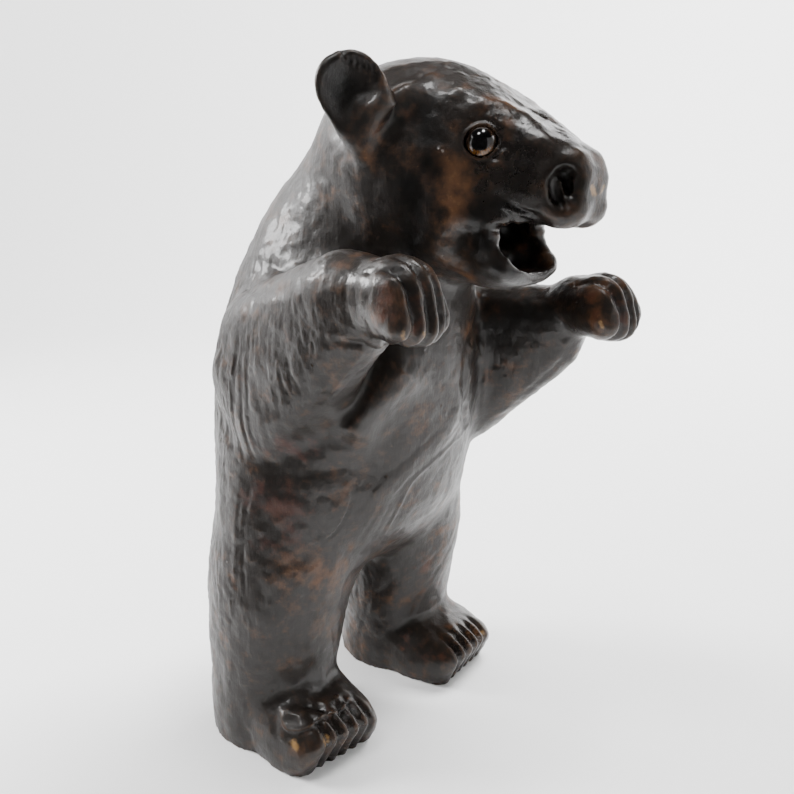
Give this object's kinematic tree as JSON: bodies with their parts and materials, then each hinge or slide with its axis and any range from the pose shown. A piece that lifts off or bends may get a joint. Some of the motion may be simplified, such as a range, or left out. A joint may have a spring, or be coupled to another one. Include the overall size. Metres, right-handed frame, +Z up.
{
  "type": "bear figurine",
  "caption": "Bear figurine standing upright with raised forepaws and open jaws, made of dark lacquered leather stretched over a solid form, with amber glass eyes.",
  "frame": {"origin": "centre of the bounding box's base, on the surface the bear stands on, between and a little behind the middle of the feet", "axes": "+Z up, -Y the way the bear faces, -X the bear's right side"},
  "size_m": [0.1184, 0.1422, 0.235],
  "materials": {
    "leather": "gloss lacquer, dark brown worn to tan on edges",
    "eye_glass": "polished, amber with a black pupil"
  },
  "bodies": {
    "root": {"bear_body": "leather", "eye_right": "eye_glass", "eye_left": "eye_glass"}
  },
  "joints": []
}
